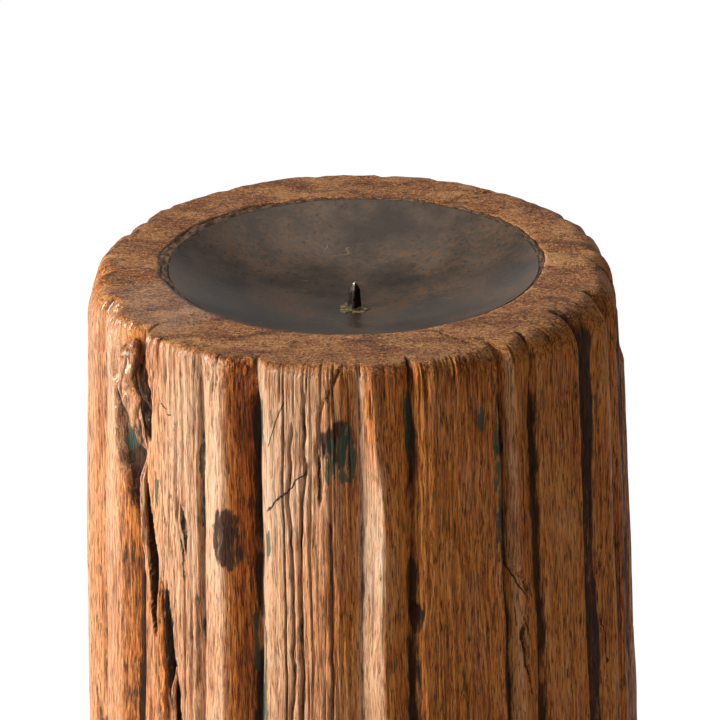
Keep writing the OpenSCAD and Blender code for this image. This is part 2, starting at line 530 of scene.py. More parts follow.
def torn_side(u, z):
    """Depth and darkening of the damage beside the big left reed: a hollow where its
    flank has torn away, a ragged lump above it, a black slit and two long splits.
    The darkening of the hollow, the hole and the walls of the slit and splits is
    painted shade in these recesses; the gouge, the lump and the frayed wood are
    darkened less, and the black groove below the hollow is tar."""
    rag = 0.5 * round_noise(u, z, 240, 5, 301, 2)
    hollow_l = through([(205, -51), (214, -52.8), (222, -55.5), (231, -58), (240, -60),
                        (248, -61.3), (255, -61.6), (261, -60)], z) + rag
    hollow_r = through([(205, -50), (214, -50.2), (222, -50.6), (231, -51.4), (240, -52.6),
                        (248, -54.2), (253, -56), (258, -58)], z) + 0.4 * rag
    across = np.clip((u - hollow_l) / np.maximum(hollow_r - hollow_l, 0.5), 0, 1)
    hollow = fade(-0.4, 0.4, u - hollow_l) * (1 - fade(-0.3, 0.3, u - hollow_r))
    hollow = hollow * band_mask(z, 208, 257, 2.5)
    slit, slit_shade = dark_gap(
        u, z, [(-52.8, 277), (-50.8, 266), (-49.4, 258), (-49.0, 248)],
        [(248, 0.4), (257, 0.9), (264, 1.5), (270, 1.0), (277, 0.5)])
    split_a, split_a_shade = dark_gap(
        u, z, [(-49.7, 232), (-49.0, 222), (-47.7, 212), (-46.9, 199), (-46.2, 187)],
        [(187, 0.3), (199, 0.9), (212, 1.3), (222, 1.0), (232, 0.4)])
    split_b, split_b_shade = dark_gap(
        u, z, [(-43.7, 202), (-42.5, 186), (-41.5, 172), (-40.6, 160)],
        [(160, 0.9), (172, 0.85), (186, 0.6), (202, 0.25)])
    split_c = line_gap(u, z, [(-46.1, 192), (-45.5, 176), (-44.7, 140)], [(140, 0.25), (192, 0.3)])
    slab = band_mask(u, -49.6, -42.6, 0.4) * band_mask(z, 120, 196, 10)
    gouge = line_gap(u, z, [(-40.6, 232), (-39.4, 224), (-38.7, 216)],
                     [(216, 0.4), (222, 0.9), (228, 0.7), (232, 0.3)])
    lump = band_mask(u + rag, -57.5, -50.5, 0.6) * band_mask(z, 250, 275, 2.0)
    frayed = band_mask(u + rag, -62.5, -57.5, 0.7) * band_mask(z, 255, 274, 2.0)
    hole = spots(u, z, [(-61.3, 255, 0.9, 2.2)])
    coarse = round_noise(u, z, 300, 3.2, 311, 2)
    depth = (4.0 + 2.0 * across) * hollow + 9 * slit + 10 * split_a + 8 * split_b + 1.8 * gouge
    depth = depth + 3 * split_c - 0.7 * slab
    foot = band_mask(u, -55.4, -50.4, 0.4) * (1 - fade(196, 212, z))
    foot = foot * np.clip(0.75 + 0.5 * round_noise(u, z, 240, 9, 321, 2), 0, 1)
    depth = depth + lump * (2.6 + 1.0 * coarse) * (1 - slit) + frayed * (1.2 + 1.6 * coarse) + 3 * hole
    # Painted shade: the hollow, the hole and the walls of the slit and splits are darkened where shade
    # falls in them.
    darkening = (0.76 + 0.24 * across ** 2) * hollow + 1.3 * (slit_shade + split_a_shade + split_b_shade) + 0.45 * gouge
    darkening = darkening + 0.8 * split_c + foot
    return depth, np.clip(darkening + 0.35 * lump + 0.2 * frayed + hole, 0, 1)


# Where drying checks open the wood: from and to angle, from and to height of their
# middles, how many, least and most depth in mm, least and most length in mm
CHECKS = [
    (-47, -34, 0, 280, 60, 0.3, 1.0, 15, 110), (-34, -16, 0, 280, 16, 0.3, 0.6, 20, 70),
    (-15.5, -0.3, 0, 280, 26, 0.35, 1.0, 30, 170), (1, 10, 0, 280, 12, 0.3, 0.7, 10, 60),
    (13, 28, 0, 280, 70, 0.25, 0.7, 6, 60), (34, 52, 0, 280, 60, 0.25, 0.7, 6, 70),
    (60, 88, 0, 280, 40, 0.3, 0.8, 15, 120), (-72, -53, 0, 280, 24, 0.3, 0.7, 20, 120),
    (-160, -74, 0, 280, 80, 0.4, 1.2, 20, 160), (90, 192, 0, 280, 90, 0.4, 1.2, 20, 160),
    (-50, 54, 268, 280, 110, 0.3, 0.9, 5, 16), (54, 90, 262, 278, 20, 0.3, 0.8, 6, 20),
]


def drying_checks(u_lines, z):
    """Depth of the drying checks: each runs down one grid line of the wood for its
    own length and is deepest in its middle."""
    rng = np.random.default_rng(41)
    depth = np.zeros(z.shape)
    for start, stop, low, high, count, thin, deep, short, long in CHECKS:
        lines = np.searchsorted(u_lines, rng.uniform(start, stop, count))
        middle = rng.uniform(low, high, (count, 1))
        half = rng.uniform(short, long, (count, 1)) / 2
        size = rng.uniform(thin, deep, (count, 1))
        swell = np.clip(1 - ((z[:, lines].T - middle) / half) ** 2, 0, 1) ** 0.6
        np.add.at(depth, (slice(None), lines), (size * swell).T)
    return depth


# How weathered the wood is, by angle: the height of its fine ridges in mm
WEATHERING = [
    (-165, 0.4), (-100, 0.35), (-72, 0.15), (-56, 0.15), (-48, 0.34), (-35, 0.34), (-33, 0.12),
    (-17, 0.12), (-14, 0.20), (-1, 0.22), (1, 0.12), (10, 0.16), (13, 0.30), (29, 0.30), (32, 0.12),
    (39, 0.16), (41, 0.32), (56, 0.28), (70, 0.2), (100, 0.38), (195, 0.4),
]
# Tarry dirt on the sides of some reeds, and painted shade: the strips from -59.6 to -54.6 and from -27.2
# to -22.4 degrees darken the flanks of reeds A and B that turn away from the light. Each: from and to
# angle, strength, height of its top
TAR_AND_FLANK_SHADE = [
    (55.4, 61.6, 1.7, 277), (9.6, 12.6, 0.4, 264), (-22.8, -21.2, 0.5, 270), (75.4, 78.4, 0.9, 270),
    (40.2, 41.8, 0.5, 264), (30.6, 32.6, 0.8, 272), (-77.0, -75.0, 0.25, 264),
    (-27.2, -22.4, 0.25, 264), (-59.6, -54.6, 0.42, 264),
]
# How pale the wood is painted, by angle: partly dry, bleached wood, and partly painted light: paler on
# the faces the key light strikes, with thin pale strips on reeds D and E as painted sheen highlights;
# below 0 it is painted shade, darker on the flanks turned away from the light
BLEACH_AND_PAINTED_LIGHT = [
    (-165, 0.1), (-100, 0.25), (-91, 0.45), (-74, 0.45), (-71, 0.65), (-64, 0.75), (-60, 0.5),
    (-57.5, 0.1), (-54, 0.0), (-50, 0.35), (-46, 0.5), (-43, 0.8), (-36, 0.75), (-34, 0.8),
    (-29.6, 1.0), (-28.2, 0.45), (-26.8, -0.35), (-25, -0.95), (-23.6, -1.0), (-21.5, 0.95),
    (-15, 0.8), (-8, 0.5),
    (-4, 0.25), (-1, 0.0), (0.8, 0.85), (4.6, 0.9), (5.6, 0.1), (8, 0.0), (33.2, 0.0), (34.0, 0.4),
    (35.2, 0.3), (36.4, -0.5), (40, -0.5), (42, 0.1), (52, 0.0), (66.4, -0.2), (67.2, 0.4),
    (68.2, 0.3), (69.4, -0.7), (76, -0.9), (90, -0.8), (110, 0.0), (195, 0.0),
]


def groove_dirt_and_flank_shade(u, z):
    """Dirt in the valleys, wider in the deeper ones, and tar, all in blotches; two strips of the tar
    table are painted shade on reed flanks.
    """
    total = np.zeros(z.shape)
    for reed in REEDS:
        for valley, deep in ((reed[0], reed[3]), (reed[2], reed[4])):
            total = total + fade(1, 5, deep) * np.exp(-((u - valley) / (0.16 * deep)) ** 2)
    blotch = fade(-0.75, 0.30, round_noise(u, z, 90, 16, 71, 3))
    total = total * (0.30 + 0.70 * blotch)
    for start, stop, amount, top in TAR_AND_FLANK_SHADE:
        low = 0.25 + 0.75 * (1 - fade(top - 6, top, z))
        total = total + amount * band_mask(u, start, stop, 0.8) * (0.45 + 0.55 * blotch) * low
    return total


def cracks_across(u, z):
    """Cracks that leave the grain: lines through (angle, height) points, half width."""
    total = np.zeros(z.shape)
    wave = 0.25 * round_noise(u * 0, z, 8, 5, 65, 2)
    for points, half in (
        ([(-3.0, 279), (-4.6, 276), (-7.2, 269), (-8.0, 262), (-8.2, 250), (-7.4, 238)], 0.34),
        ([(-11.0, 272), (-10.7, 250), (-11.6, 225), (-11.8, 196), (-11.5, 150)], 0.30),
        ([(-13.4, 262), (-13.9, 240), (-13.3, 205), (-13.8, 160)], 0.24),
        ([(-6.0, 232), (-5.2, 205), (-5.8, 170), (-5.0, 145)], 0.28),
        ([(32.4, 217), (33.0, 212), (35.6, 208), (36.8, 204), (36.9, 199)], 0.40),
        ([(36.8, 195), (34.9, 191), (35.1, 186), (37.4, 183)], 0.35),
        ([(34.6, 189), (35.6, 180), (37.6, 172)], 0.30),
    ):
        total = np.maximum(total, line_gap(u + wave, z, points, [(0, half), (280, half)], 0.8))
    return total


def column_surface(u_lines, z):
    """How deep the column's side is cut below its taper, how far it drifts sideways
    in degrees, and its darkening (dirt and tar, and painted shade in the torn damage and on two flanks),
    at each angle and height."""
    u = np.broadcast_to(u_lines, z.shape)
    shift = 3.0 * np.exp(-((u - 4.4) / 2.6) ** 2) * fade(225, 278, z)
    behind = np.maximum(1 - fade(-104, -84, u), fade(88, 108, u))
    worn = 1 - 0.92 * behind * fade(235, 272, z) - 0.35 * (1 - behind) * fade(262, 280, z)
    relief = reed_relief(u + shift) * worn
    carve = 1 + 0.14 * round_noise(u, z, 24, 46, 11, 2)
    weather = through(WEATHERING, u)
    hair = 1 - fade(0.0, 0.08, np.abs(round_noise(u, z, 240, 85, 33, 2)))
    hair = np.maximum(hair, 1 - fade(0.0, 0.09, np.abs(round_noise(u, z, 400, 30, 35))))
    hair = hair * fade(0.1, 0.3, weather)
    checks = drying_checks(u_lines, z) + 1.1 * cracks_across(u, z)
    torn, torn_dirt_and_shade = torn_side(u, z)
    swell = 0.5 * round_noise(u, z, 18, 70, 21, 2) * (1 - behind * fade(235, 272, z))
    swell = swell + 1.6 * band_mask(u, -125, -62, 14) * (1 - fade(120, 235, z))
    ripple = weather * (round_noise(u, z, 450, 60, 31, 2) + 0.9 * round_noise(u, z, 1100, 16, 37))
    shoulder = band_mask(u, -76, -48, 3) * fade(256, 268, z)
    battered = 0.7 * round_noise(u, z, 200, 3.4, 45, 2) + 0.4 * round_noise(u, z, 90, 7, 47)
    ripple = ripple + shoulder * battered
    crushed = band_mask(u, -33, -23.5, 1.0) * fade(268, 273, z)
    flecked = round_noise(u, z, 360, 2.4, 41, 2)
    ragged = crushed * (0.5 + 0.9 * flecked)
    chip = spots(u, z, [(-68.4, 279.5, 2.2, 3.2)]) * (1.4 + 0.8 * round_noise(u, z, 360, 2.0, 43))
    stepped = 1.3 * band_mask(u, 80, 104, 4) * fade(249, 255, z)
    depth = relief * carve + checks + torn + swell + ripple + ragged + chip + stepped + 0.45 * hair
    drift = 0.36 * round_noise(u, z, 20, 62, 51, 2) + 0.14 * round_noise(u, z, 72, 16, 61)
    drift = drift + 0.10 * round_noise(u, z, 240, 7, 63)
    drift = drift * (1 - 0.75 * band_mask(u, -60, -38, 3) * fade(120, 150, z))
    # Dirt and tar in the grooves and cracks, with painted shade from the torn damage and on two reed
    # flanks.
    dirt_and_shade = groove_dirt_and_flank_shade(u, z) * worn + 0.5 * fade(0.25, 1.1, checks) + torn_dirt_and_shade + 0.42 * hair
    dirt_and_shade = dirt_and_shade + 0.45 * crushed * fade(0.2, 0.9, flecked) + 0.3 * fade(0, 2, chip)
    return depth, drift, np.clip(dirt_and_shade, 0, 1)


def column_grid():
    """The column's whole skin, row by row: up the side, over the worn edge, in
    across the top, down the step for the dish and into the hole for the tang."""
    u = grain_angles()
    cols = len(u)
    side_levels = np.concatenate([
        [0.0, 0.006], np.linspace(0.02, 0.5, 14, endpoint=False), np.linspace(0.5, 1.0, 85),
    ])
    edge_turns = np.radians(np.linspace(0, 90, 9))[1:]
    top_steps = np.linspace(0, 1, 15)[1:]

    edge_in = through(EDGE_IN, u) * (1 + 0.18 * round_noise(u, 0 * u, 90, 1, 71, 2))
    edge_down = through(EDGE_DOWN, u) * (1 + 0.15 * round_noise(u, 0 * u, 60, 1, 81, 2))
    shoulder = HEIGHT - edge_down

    z_side = side_levels[:, None] * shoulder[None, :]
    z_edge = shoulder[None, :] + edge_down[None, :] * np.sin(edge_turns)[:, None]
    z = np.concatenate([z_side, z_edge])
    depth, drift, dirt_and_shade = column_surface(u, z)
    turn = np.concatenate([np.zeros(len(side_levels)), edge_turns])
    r = taper(z) - depth - edge_in[None, :] * (1 - np.cos(turn))[:, None]
    r[0] -= FOOT_CHAMFER
    theta = np.radians(u[None, :] + drift)
    end = fade(0.55, 1.0, np.sin(turn))[:, None] * np.ones(cols)

    x = r * np.sin(theta)
    y = -r * np.cos(theta)
    lip_theta = theta[-1]
    joint = joint_edge(np.degrees(lip_theta))
    inner_x = DISH_X + joint * np.sin(lip_theta)
    inner_y = DISH_Y - joint * np.cos(lip_theta)
    s = top_steps[:, None]
    top_x = x[-1] * (1 - s) + inner_x * s
    top_y = y[-1] * (1 - s) + inner_y * s
    top_z, top_dirt = top_face(top_x, top_y, s, lip_theta)

    seat = [(joint, np.full(cols, RIM_Z - PUTTY_DEPTH)), (joint - 0.8, np.full(cols, RIM_Z - 3.4))]
    seat += [
        (np.full(cols, rr), np.full(cols, bowl_height(rr) - SHEET_T - 0.3))
        for rr in (50, 36, 18, SPIKE_R)
    ]
    seat += [(np.full(cols, SPIKE_R), np.full(cols, TANG_Z))]
    seat_x = np.array([DISH_X + rr * np.sin(lip_theta) for rr, zz in seat])
    seat_y = np.array([DISH_Y - rr * np.cos(lip_theta) for rr, zz in seat])
    seat_z = np.array([zz for rr, zz in seat])

    xs = np.concatenate([x, top_x, seat_x])
    ys = np.concatenate([y, top_y, seat_y])
    zs = np.concatenate([z, top_z, seat_z])
    rows = len(xs)
    flow_r = np.hypot(xs, ys)
    flow = np.radians(np.broadcast_to(u, xs.shape)) * fade(50, 76, flow_r)
    flow = flow + np.arctan2(xs, -ys) * (1 - fade(50, 76, flow_r))
    side_rows = len(x)
    angle = np.where(np.arange(rows)[:, None] < side_rows, np.radians(u)[None, :], np.arctan2(xs, -ys))
    grain = np.stack([flow_r * np.sin(angle), -flow_r * np.cos(angle), zs], -1) * MM

    pad = rows - side_rows - len(top_x)
    dirt_and_shade = np.concatenate([dirt_and_shade, top_dirt, np.ones((pad, cols)) * 0.6])
    end = np.concatenate([end, np.ones((rows - side_rows, cols))])
    end[0] = 1    # the foot is sawn too
    return u, xs, ys, zs, grain, dirt_and_shade, end


def joint_edge(theta):
    """Radius of the wood's edge round the dish at each angle in degrees: close to
    the rim at the front, and broken back at the left and behind."""
    wide = through([(-180, 57.4), (-160, 57.8), (-140, 58.6), (-110, 59.0), (-85, 58.2), (-65, 56.3),
                    (-40, 55.9), (40, 55.9), (75, 56.5), (95, 57.6), (130, 58.0), (150, 57.0),
                    (180, 57.4)], (theta + 180) % 360 - 180)
    crumble = through([(-180, 0.5), (-130, 0.6), (-80, 0.45), (-55, 0.12), (60, 0.10), (90, 0.3),
                       (150, 0.35), (180, 0.5)], (theta + 180) % 360 - 180)
    return wide + crumble * round_noise(theta, 0 * theta, 70, 1, 91, 2)


def top_face(x, y, s, theta):
    """Height and grime of the sawn top: nearly flat, a little uneven, with hairline
    cracks that run out from the dish."""
    angle = np.degrees(theta)[None, :]
    r = np.hypot(x, y)
    z = HEIGHT + 0.18 * lattice_noise(x / 9 + 40, y / 9 + 40, 101) - 0.3 * s ** 4
    z = z + 0.06 * lattice_noise(x / 1.4 + 90, y / 1.4 + 90, 102)
    crack = np.zeros_like(r)
    for r0, a0, r1, a1, width in ((57, 23, 78, 31.2, 0.35), (58, 88.2, 76, 87.3, 0.45),
                                  (58, 145.3, 75, 146.2, 0.5)):
        centre = a0 + (a1 - a0) * (r - r0) / (r1 - r0)
        crack = crack + (1 - fade(0, width, np.abs(angle - centre))) * band_mask(r, r0 + 2, r1 + 4, 1.5)
    return z - 0.9 * crack, np.clip(0.8 * crack, 0, 1)


# Traces of old green paint: angle, height, half width in degrees, half height in mm
PAINT = [
    (-34.4, 246, 0.7, 11), (-34.4, 230, 0.6, 6), (-39.4, 222, 0.8, 7), (-20.6, 262, 0.9, 9),
    (-18.9, 224, 0.8, 5), (-2.6, 253, 2.2, 9), (-5.6, 250, 1.2, 8), (-20.4, 170, 0.9, 30),
    (26.5, 262, 1.0, 5), (70.8, 230, 1.4, 50), (10.5, 262, 0.8, 14), (30.4, 240, 0.9, 30),
    (-58.6, 244, 1.6, 6), (-46.6, 232, 0.6, 4), (-23, 190, 0.7, 12), (-146, 180, 0.8, 40),
    (131, 210, 0.9, 30), (160, 120, 1.0, 30), (-117, 90, 0.9, 40), (102.5, 60, 0.8, 25),
]
# Dark stains and the knot: angle, height, half width, half height
STAINS = [
    (-28.2, 223, 3.1, 9.5), (-4.5, 256, 2.6, 8), (11.8, 201, 1.5, 5), (68.9, 215, 1.2, 18),
    (56.5, 215, 1.2, 10), (-44, 120, 3.0, 12), (20, 90, 2.5, 10), (140, 150, 3.0, 12),
]


def spots(u, z, places):
    """1 inside each oval mark, fading out at its edge."""
    total = np.zeros(np.broadcast(u, z).shape)
    for angle, height, half_w, half_h in places:
        far = ((u - angle) / half_w) ** 2 + ((z - height) / half_h) ** 2
        far = far + 0.5 * round_noise(u, z, 240, 3.5, 251, 2)
        total = np.maximum(total, 1 - fade(0.7, 1.2, far))
    return total


def build_column(material):
    """The column as one closed piece."""
    u, x, y, z, grain, dirt_and_shade, end = column_grid()
    rows, cols = x.shape
    points = skin(np.stack([x, y, z], -1), (0, 0, 0), (DISH_X, DISH_Y, TANG_Z))
    ring = np.broadcast_to(u, x.shape)
    side = 1 - end
    paint = spots(ring, z, PAINT) * side
    stain = spots(ring, z, STAINS) * side * 0.8
    # Paleness from the table above: partly bleached wood, partly painted light on lit faces, and painted
    # shade below 0; less of it near the top of reed C, where its lit facet narrows.
    pale = through(BLEACH_AND_PAINTED_LIGHT, ring) * (0.8 + 0.2 * fade(170, 240, z)) * side
    pale = pale * (1 - 0.85 * band_mask(ring, 1.4, 6.4, 0.8) * fade(236, 268, z))
    pale = pale + 0.1 * round_noise(ring, z, 60, 22, 261, 2) * side
    gloss = band_mask(ring, -78, -46, 3) * fade(238, 262, z)
    gloss = gloss + 0.35 * band_mask(ring, -47, -31, 1.5) * side

    def whole(grid, poles):
        return np.concatenate([grid.reshape(-1), poles])

    values = {
        "grain": np.concatenate([grain.reshape(-1, 3), [(0, 0, 0), (0, 0, TANG_Z * MM)]]),
        "dirt_and_shade": whole(dirt_and_shade, [0.3, 1]), "end": whole(end, [1, 1]), "paint": whole(paint, [0, 0]),
        "stain": whole(stain, [0, 0]), "pale": whole(np.clip(pale, -1, 1), [0, 0]),
        "gloss": whole(np.clip(gloss, 0, 1), [0, 0]),
    }
    return make_piece(
        "old_column", points, closed_grid_faces(rows, cols), material, "column", values
    )


# Loose wood at the damage. Each splinter: height, angle, lift above the taper, half
# width in mm, from its top down; then its thickness, bleaching and dirt
SPLINTERS = {
    "torn_lump": (
        [(277, -57.4, -4.6, 1.6), (272, -56.8, -1.2, 3.6), (264, -55.6, 0.2, 4.0),
         (256, -54.0, 0.0, 3.2), (249, -52.0, -0.8, 1.7), (243, -50.9, -2.4, 0.4)], 2.0, 0.35, 0.42),
    "upper_sliver": (
        [(244, -51.2, -3.0, 0.3), (235, -50.9, -0.8, 0.8), (224, -50.6, -0.4, 0.9),
         (212, -50.0, -0.4, 0.9), (202, -49.4, -1.0, 0.6), (194, -49.0, -2.0, 0.3)], 1.2, 0.5, 0.1),
    "orange_sliver": (
        [(212, -46.0, -1.8, 0.3), (198, -45.2, 0.2, 1.0), (186, -44.5, 0.6, 1.5),
         (170, -43.8, 0.6, 1.4), (158, -43.2, 0.0, 0.9), (148, -42.8, -2.0, 0.3)], 1.0, 0.05, 0.08),
    "broken_sliver": (
        [(178, -41.7, -1.6, 0.3), (170, -41.2, 0.0, 0.8), (163, -40.9, 0.6, 0.8),
         (158, -40.8, -0.4, 0.8), (153, -40.7, -3.0, 0.6)], 0.9, 0.3, 0.1),
    "left_fibre": (
        [(275, -61.2, -3.6, 0.4), (268, -60.4, -0.6, 0.7), (259, -59.6, 0.2, 0.5),
         (254, -59.0, -0.6, 0.3)], 0.7, 0.7, 0.0),
    "middle_fibre": (
        [(273, -59.0, -2.6, 0.4), (266, -58.4, 0.0, 0.6), (257, -57.4, 0.4, 0.6),
         (251, -56.4, -0.8, 0.3)], 0.7, 0.6, 0.1),
    "slit_fibre": (
        [(262, -52.6, -0.6, 0.3), (254, -51.6, 0.2, 0.6), (246, -50.4, -0.4, 0.4),
         (241, -50.0, -1.4, 0.2)], 0.6, 0.7, 0.0),
    "gouge_fibre": (
        [(232, -40.7, -1.2, 0.2), (226, -39.8, -0.4, 0.45), (220, -39.2, -0.5, 0.4),
         (215, -38.7, -1.2, 0.2)], 0.5, 1.0, 0.0),
}


def build_splinter(name, places, thick, bleached, dirty, seed, material):
    """One splinter: a flat oval section with long facets, carried up a path of
    heights and angles on the column, and thinned to nothing at its ends."""
    rows, cols = 60, 28
    heights, angles, lifts, halves = np.array(places[::-1], dtype=float).T
    z = np.linspace(heights[0], heights[-1], rows)[:, None]
    around = np.linspace(0, 2 * np.pi, cols, endpoint=False)[None, :]
    degrees = np.degrees(around)
    theta = np.radians(np.interp(z, heights, angles) + 0.35 * round_noise(0 * z, z, 8, 7, seed, 3))
    half = np.interp(z, heights, halves) * (1 + 0.30 * round_noise(degrees, z, 6, 4, seed + 1, 3))
    depth = thick * np.minimum(1, np.interp(z, heights, halves))
    depth = depth * (1 + 0.50 * round_noise(degrees, z, 12, 6, seed + 2, 3))
    r = taper(z) + np.interp(z, heights, lifts) - depth * np.sin(around)
    across = half * np.cos(around)
    x = r * np.sin(theta) + across * np.cos(theta)
    y = -r * np.cos(theta) + across * np.sin(theta)
    grid = np.stack([x, y, np.repeat(z, cols, 1)], -1)
    points = skin(grid, grid[0].mean(0), grid[-1].mean(0))
    count = len(points)
    values = {
        "grain": points * MM + (0.03 * seed, 0, 0), "dirt_and_shade": np.full(count, dirty),
        "end": np.zeros(count), "paint": np.zeros(count), "stain": np.zeros(count),
        "pale": np.full(count, bleached), "gloss": np.full(count, 0.7),
    }
    return make_piece(name, points, closed_grid_faces(rows, cols), material, None, values)


def build_splinters(material):
    """The splinters, slivers and fibres that still hang at the damage."""
    for seed, (name, (places, thick, bleached, dirty)) in enumerate(SPLINTERS.items(), 401):
        build_splinter(name, places, thick, bleached, dirty, seed, material)


# ------------------------------------------------------------------- the dish
def mottle_group():
    """Patina: broad clouds, small speckles and thin bright scratches from a position
    in metres."""
    group, given, gives = new_group(
        "patina_mottle", [("Position", "vector")],
        [("Clouds", "value"), ("Speckle", "value"), ("Scratch", "value")],
    )
    place = given["Position"]
    clouds = cloud(group, stretched(group, place, 38, 38, 38), 5, 0.6)
    speckle = cloud(group, stretched(group, place, 700, 700, 700), 5, 0.70)
    bends = cloud(group, stretched(group, place, 34, 44, 40), 2, 0.4, 0.6)
    line = level(group, calc(group, "ABSOLUTE", calc(group, "SUBTRACT", bends, 0.5)), 0.003, 0.0)
    here = level(group, cloud(group, stretched(group, place, 60, 60, 60), 3, 0.6), 0.54, 0.62)
    scratch = calc(group, "MULTIPLY", line, here)
    for label, value in (("Clouds", clouds), ("Speckle", speckle), ("Scratch", scratch)):
        group.links.new(value, gives.inputs[label])
    return group


PATINA = mottle_group()


def dish_material():
    """Dark brown-black patina, with rusty speckles and a few brassy scratches."""
    material, tree, shader = new_material("dark_patina")
    place = put(tree, "ShaderNodeTexCoord").outputs["Object"]
    patina = use(tree, PATINA, {"Position": place})
    away = put(tree, "ShaderNodeVectorMath", {0: place, 1: (DISH_X * MM, DISH_Y * MM, FLOOR_Z * MM)},
               operation="DISTANCE").outputs["Value"]
    rubbed = level(tree, away, 0.050, 0.014)
    colour = tones(tree, calc(tree, "MULTIPLY_ADD", rubbed, 0.09, patina["Clouds"]), [
        (0.35, (0.050, 0.034, 0.024)), (0.50, (0.098, 0.070, 0.050)), (0.66, (0.165, 0.115, 0.080)),
    ])
    dark_specks = level(tree, patina["Speckle"], 0.44, 0.34, 0.0, 0.6)
    colour = blend(tree, dark_specks, colour, (0.030, 0.020, 0.014))
    rust = calc(tree, "MULTIPLY", level(tree, patina["Speckle"], 0.50, 0.62),
                level(tree, patina["Clouds"], 0.40, 0.60))
    rust = calc(tree, "MULTIPLY", rust, calc(tree, "MULTIPLY_ADD", rubbed, 0.4, 0.60))
    colour = blend(tree, rust, colour, (0.27, 0.110, 0.036))
    scratch = calc(tree, "MULTIPLY", patina["Scratch"], level(tree, away, 0.046, 0.040))
    colour = blend(tree, calc(tree, "MULTIPLY", scratch, 0.8), colour, (0.45, 0.34, 0.16))
    rough = calc(tree, "MULTIPLY_ADD", patina["Clouds"], 0.30, 0.18)
    rough = calc(tree, "MULTIPLY_ADD", rust, 0.15, rough)
    height = calc(tree, "MULTIPLY_ADD", patina["Speckle"], 0.5, patina["Clouds"])
    feed(tree, shader, Base_Color=colour, Roughness=rough, Metallic=0.6,
         Normal=bumped(tree, height, 0.0004, 0.5))
    return material


def build_dish(material):
    """The dish: a spherical bowl of sheet metal, a little uneven from its making.
    Its height is a sphere's over the floor, and its thickness is taken straight down."""
    cols = 180
    theta = np.linspace(0, 2 * np.pi, cols, endpoint=False)
    inside = np.concatenate([np.linspace(SPIKE_R * 0.6, RIM_R - 1.2, 64), [RIM_R - 0.6, RIM_R - 0.2]])
    rim = [(RIM_R, 0.0, 1), (RIM_R + 0.1, -0.35, 1), (RIM_R - 0.1, -0.9, 1)]
    outside = np.linspace(RIM_R - 2, SPIKE_R * 0.6, 24)

    r = np.concatenate([outside[::-1], [p[0] for p in rim][::-1], inside[::-1]])
    z = np.concatenate([
        bowl_height(outside[::-1]) - SHEET_T, [RIM_Z + p[1] for p in rim][::-1],
        np.minimum(bowl_height(inside[::-1]), RIM_Z),
    ])
    angle = np.degrees(theta)
    grid_r = np.repeat(r[:, None], cols, 1)
    uneven = 0.22 * round_noise(angle[None, :], grid_r, 9, 16, 201, 2)
    uneven = uneven * fade(4, 14, grid_r) * (1 - fade(RIM_R - 5, RIM_R, grid_r))
    grid_z = np.repeat(z[:, None], cols, 1) + uneven
    grid = np.stack([DISH_X + grid_r * np.sin(theta), DISH_Y - grid_r * np.cos(theta), grid_z], -1)
    faces = closed_grid_faces(len(r), cols)
    points = skin(grid, (DISH_X, DISH_Y, FLOOR_Z - SHEET_T), (DISH_X, DISH_Y, FLOOR_Z))
    return make_piece("patinated_dish", points, faces, material, "candle_dish")


# ------------------------------------------------------------- spike and braze
def iron_material():
    """Nearly black forged iron, bright where the tip is rubbed."""
    material, tree, shader = new_material("forged_iron")
    place = put(tree, "ShaderNodeTexCoord").outputs["Object"]
    patina = use(tree, PATINA, {"Position": place})
    colour = tones(tree, patina["Speckle"], [
        (0.35, (0.016, 0.012, 0.010)), (0.60, (0.045, 0.032, 0.024)), (0.75, (0.10, 0.05, 0.025)),
    ])
    height_up = put(tree, "ShaderNodeSeparateXYZ", {0: place}).outputs["Z"]
    tip = level(tree, height_up, (TIP_Z - 0.9) * MM, (TIP_Z - 0.1) * MM)
    colour = blend(tree, calc(tree, "MULTIPLY", tip, 0.8), colour, (0.45, 0.38, 0.30))
    feed(tree, shader, Base_Color=colour, Roughness=level(tree, patina["Speckle"], 0.3, 0.7, 0.3, 0.5),
         Metallic=0.8, Normal=bumped(tree, patina["Speckle"], 0.0003, 0.6))
    return material


def braze_material():
    """Dull yellow braze, browned at its edges."""
    material, tree, shader = new_material("dull_braze")
    place = put(tree, "ShaderNodeTexCoord").outputs["Object"]
    patina = use(tree, PATINA, {"Position": place})
    colour = tones(tree, patina["Speckle"], [
        (0.40, (0.06, 0.042, 0.028)), (0.52, (0.20, 0.145, 0.07)), (0.62, (0.50, 0.39, 0.19)),
    ])
    feed(tree, shader, Base_Color=colour, Roughness=level(tree, patina["Speckle"], 0.3, 0.7, 0.35, 0.55),
         Metallic=0.7, Normal=bumped(tree, patina["Speckle"], 0.0004, 0.7))
    return material


